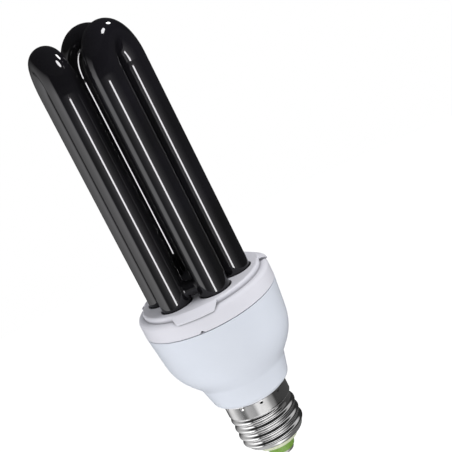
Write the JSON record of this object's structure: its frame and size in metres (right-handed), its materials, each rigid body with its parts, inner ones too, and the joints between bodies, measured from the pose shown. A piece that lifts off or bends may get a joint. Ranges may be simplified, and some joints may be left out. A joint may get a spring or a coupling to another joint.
{
  "type": "uv black light bulb",
  "caption": "Compact fluorescent black light lamp: bundled U-shaped black glass tubes on a white plastic ballast housing with a metal Edison screw cap.",
  "frame": {"origin": "centre of the end contact's lower face", "axes": "+Z along the lamp's axis from the contact to the tips of the tubes; -Y faces the U-tube that lies between the two glass bridges"},
  "size_m": [0.0542, 0.0547, 0.1823],
  "materials": {
    "black_glass": "glossy, deep violet-black, opaque to the eye",
    "white_plastic": "cool white, satin",
    "nickel": "bright nickel plate with fine drawing marks",
    "green_plastic": "bright green, glossy",
    "contact_metal": "tinned, slightly dull",
    "cement": "dull off-white",
    "board": "brown paper laminate",
    "can_sleeve": "dark shrink sleeve",
    "ferrite": "dark grey, dull",
    "copper_wire": "enamelled copper",
    "epoxy": "black moulding",
    "film_dip": "brown-red dip coat",
    "resistor_paint": "grey-green paint",
    "lead_sleeve": "off-white sleeving"
  },
  "bodies": {
    "root": {"discharge_tube": "black_glass", "tube_cover": "white_plastic", "ballast_housing": "white_plastic", "screw_shell": "nickel", "cap_insulator": "green_plastic", "centre_contact": "contact_metal", "tube_cement": "cement", "circuit_board": "board", "bulk_capacitor": "can_sleeve", "choke_core": "ferrite", "choke_winding": "copper_wire", "feedback_toroid": "ferrite", "power_transistors": "epoxy", "resonance_capacitor": "film_dip", "coupling_capacitor": "film_dip", "rectifier_diodes": "epoxy", "fuse_resistor": "resistor_paint", "live_lead": "lead_sleeve", "neutral_lead": "lead_sleeve", "filament_leads": "copper_wire"}
  },
  "joints": []
}
